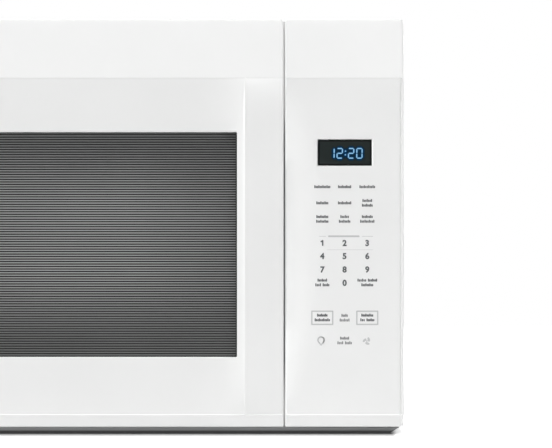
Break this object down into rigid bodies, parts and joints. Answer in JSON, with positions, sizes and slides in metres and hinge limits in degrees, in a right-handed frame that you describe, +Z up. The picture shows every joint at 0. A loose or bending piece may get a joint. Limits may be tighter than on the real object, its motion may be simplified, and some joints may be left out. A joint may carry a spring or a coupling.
{
  "type": "over the range microwave",
  "caption": "White over-the-range microwave oven with a side-hinged door, pocket handle, touch panel, turntable, and a hood with blower, grease filters and lamps underneath.",
  "frame": {"origin": "middle of the base, on the underside of the base pan", "axes": "+X to the right seen from the front, -Y out of the front, +Z up"},
  "size_m": [0.759, 0.395, 0.434],
  "materials": {
    "white_moulding": "satin gloss moulded white",
    "white_enamel": "satin white powder coat",
    "charcoal_paint": "matt charcoal powder coat",
    "cavity_enamel": "speckled grey enamel",
    "galvanised_steel": "galvanised",
    "display_black": "polished black",
    "window_glass": "dark glass with printed lines",
    "clear_glass": "clear",
    "grey_plastic": "moulded grey",
    "black_plastic": "moulded black",
    "cream_plastic": "moulded cream",
    "winding": "varnished copper wire",
    "laminations": "varnished laminations",
    "aluminium": "mill finish",
    "mica": "mica sheet",
    "circuit_board": "green board",
    "carbon": "charcoal pad",
    "rubber": "moulded rubber"
  },
  "bodies": {
    "cabinet": {"outer_wrap": "white_enamel", "rear_panel": "galvanised_steel", "front_plate": "white_enamel", "base_pan": "charcoal_paint", "vent_grille": "white_moulding", "charcoal_filter": "carbon", "cord_bushing": "rubber", "cavity_liner": "cavity_enamel", "waveguide": "galvanised_steel", "waveguide_cover": "mica", "magnetron": "galvanised_steel", "thermal_cutout": "black_plastic", "cavity_lamp": "clear_glass", "transformer_core": "laminations", "transformer_coils": "winding", "hv_capacitor": "aluminium", "capacitor_clamp": "galvanised_steel", "hv_diode": "black_plastic", "cooling_fan_shroud": "galvanised_steel", "cooling_fan_motor": "laminations", "blower_housing": "galvanised_steel", "blower_motor": "laminations", "cooktop_lamp_left": "clear_glass", "cooktop_lamp_right": "clear_glass", "lamp_lens_left": "clear_glass", "lamp_lens_right": "clear_glass", "turntable_motor": "galvanised_steel", "control_fascia": "white_moulding", "display_window": "display_black", "display_module": "black_plastic", "touch_sensor_board": "circuit_board", "control_board": "circuit_board", "interlock_bracket": "black_plastic", "interlock_switch_1": "black_plastic", "interlock_switch_2": "black_plastic", "interlock_switch_3": "black_plastic", "upper_hinge": "galvanised_steel", "lower_hinge": "galvanised_steel"},
    "door": {"door_frame": "white_moulding", "door_window": "window_glass", "door_screen": "black_plastic", "door_choke": "galvanised_steel", "door_back_cover": "grey_plastic", "door_inner_panel": "clear_glass"},
    "latch": {"door_latch": "grey_plastic"},
    "turntable": {"glass_tray": "clear_glass", "turntable_coupler": "cream_plastic"},
    "ring": {"roller_ring": "cream_plastic"},
    "first_roller": {"roller_1": "cream_plastic"},
    "second_roller": {"roller_2": "cream_plastic"},
    "third_roller": {"roller_3": "cream_plastic"},
    "cooling_fan": {"cooling_fan_blade": "black_plastic"},
    "blower_rotor": {"blower_wheels": "grey_plastic"},
    "left_filter": {"grease_filter_left": "aluminium"},
    "right_filter": {"grease_filter_right": "aluminium"}
  },
  "joints": [
    {"name": "door_hinge", "type": "hinge", "parent": "cabinet", "child": "door", "pos_m": [-0.3705, -0.166, 0.2], "axis": [0, 0, -1], "range_deg": [0, 100]},
    {"name": "latch_slide", "type": "slide", "parent": "door", "child": "latch", "axis": [0, 0, 1], "range_m": [0, 0.005], "stiffness_N_per_m": 300, "springref_m": -0.01},
    {"name": "turntable_spin", "type": "hinge", "parent": "cabinet", "child": "turntable", "pos_m": [-0.0675, 0.0165, 0.09], "axis": [0, 0, 1], "continuous": true},
    {"name": "ring_spin", "type": "hinge", "parent": "cabinet", "child": "ring", "pos_m": [-0.0675, 0.0165, 0.0843], "axis": [0, 0, 1], "continuous": true},
    {"name": "roller_1_spin", "type": "hinge", "parent": "ring", "child": "first_roller", "pos_m": [-0.0675, 0.1275, 0.0843], "axis": [0, 1, 0], "continuous": true},
    {"name": "roller_2_spin", "type": "hinge", "parent": "ring", "child": "second_roller", "pos_m": [-0.16363, -0.039, 0.0843], "axis": [-0.866, -0.5, 0], "continuous": true},
    {"name": "roller_3_spin", "type": "hinge", "parent": "ring", "child": "third_roller", "pos_m": [0.02863, -0.039, 0.0843], "axis": [0.866, -0.5, 0], "continuous": true},
    {"name": "cooling_fan_spin", "type": "hinge", "parent": "cabinet", "child": "cooling_fan", "pos_m": [0.28965, 0.1235, 0.25], "axis": [0, 1, 0], "continuous": true},
    {"name": "blower_spin", "type": "hinge", "parent": "cabinet", "child": "blower_rotor", "pos_m": [0, 0.095, 0.3738], "axis": [1, 0, 0], "continuous": true},
    {"name": "left_filter_slide", "type": "slide", "parent": "cabinet", "child": "left_filter", "axis": [0, 1, 0], "range_m": [0, 0.012]},
    {"name": "right_filter_slide", "type": "slide", "parent": "cabinet", "child": "right_filter", "axis": [0, 1, 0], "range_m": [0, 0.012]}
  ],
  "couplings": [
    {"joint": "ring_spin", "follows": "turntable_spin", "ratio": 0.5},
    {"joint": "roller_1_spin", "follows": "turntable_spin", "ratio": -6.9375},
    {"joint": "roller_2_spin", "follows": "turntable_spin", "ratio": -6.9375},
    {"joint": "roller_3_spin", "follows": "turntable_spin", "ratio": -6.9375}
  ]
}
